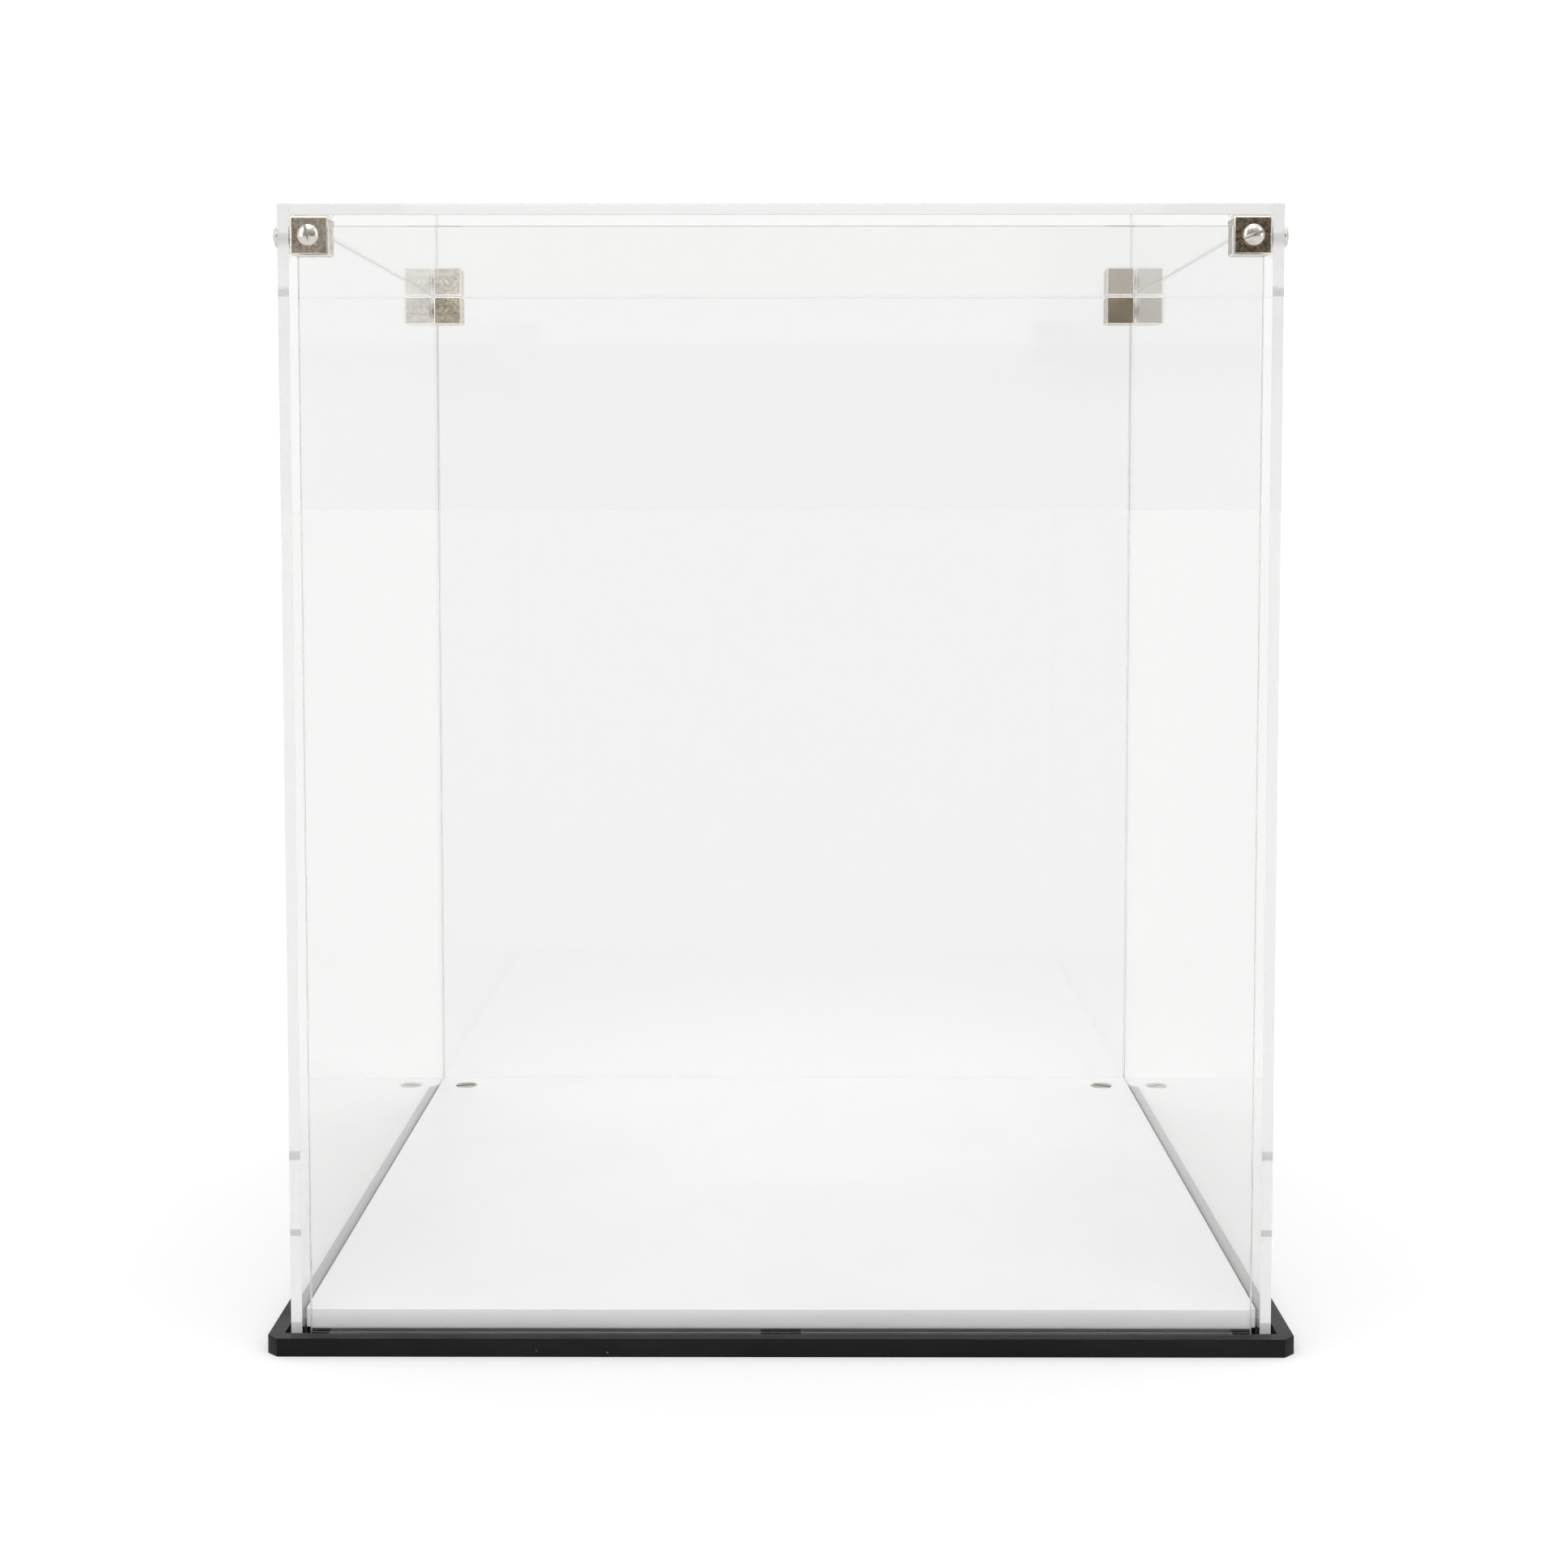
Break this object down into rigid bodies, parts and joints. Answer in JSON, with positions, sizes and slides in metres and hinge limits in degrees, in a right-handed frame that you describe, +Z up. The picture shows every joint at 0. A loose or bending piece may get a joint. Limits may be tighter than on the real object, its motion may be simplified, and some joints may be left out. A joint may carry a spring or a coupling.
{
  "type": "acrylic display cube",
  "caption": "Clear acrylic display case on a black base plate with a white floor, screwed to metal corner cubes, with a loose lid and a loose front panel.",
  "frame": {"origin": "middle of the base plate's underside, on the table", "axes": "+Z up; the front panel faces -Y; +X to the right as seen from the front"},
  "size_m": [0.278, 0.278, 0.309],
  "materials": {
    "clear_acrylic": "clear, polished faces, sawn and lightly polished edges",
    "black_acrylic": "gloss black cast sheet with satin cut edges",
    "white_acrylic": "opal white sheet, soft gloss",
    "nickel_cube": "nickel plated, polished, slightly warm",
    "nickel_screw": "bright nickel plate"
  },
  "bodies": {
    "base": {"base_plate": "black_acrylic", "floor_plate": "white_acrylic", "floor_screw_left": "nickel_screw", "floor_screw_right": "nickel_screw"},
    "cover": {"side_panel_left": "clear_acrylic", "side_panel_right": "clear_acrylic", "rear_panel": "clear_acrylic", "corner_cube_front_left": "nickel_cube", "corner_cube_front_right": "nickel_cube", "corner_cube_rear_left": "nickel_cube", "corner_cube_rear_right": "nickel_cube", "side_screw_front_left": "nickel_screw", "side_screw_front_right": "nickel_screw", "side_screw_rear_left": "nickel_screw", "side_screw_rear_right": "nickel_screw", "front_screw_left": "nickel_screw", "front_screw_right": "nickel_screw", "rear_screw_left": "nickel_screw", "rear_screw_right": "nickel_screw"},
    "front": {"front_panel": "clear_acrylic"},
    "lid": {"top_panel": "clear_acrylic"}
  },
  "joints": [
    {"name": "cover_lift", "type": "slide", "parent": "base", "child": "cover", "axis": [0, 0, 1], "range_m": [0, 0.32]},
    {"name": "lid_lift", "type": "slide", "parent": "cover", "child": "lid", "axis": [0, 0, 1], "range_m": [0, 0.1]},
    {"name": "front_pull", "type": "slide", "parent": "cover", "child": "front", "axis": [0, -1, 0], "range_m": [0, 0.1]}
  ]
}
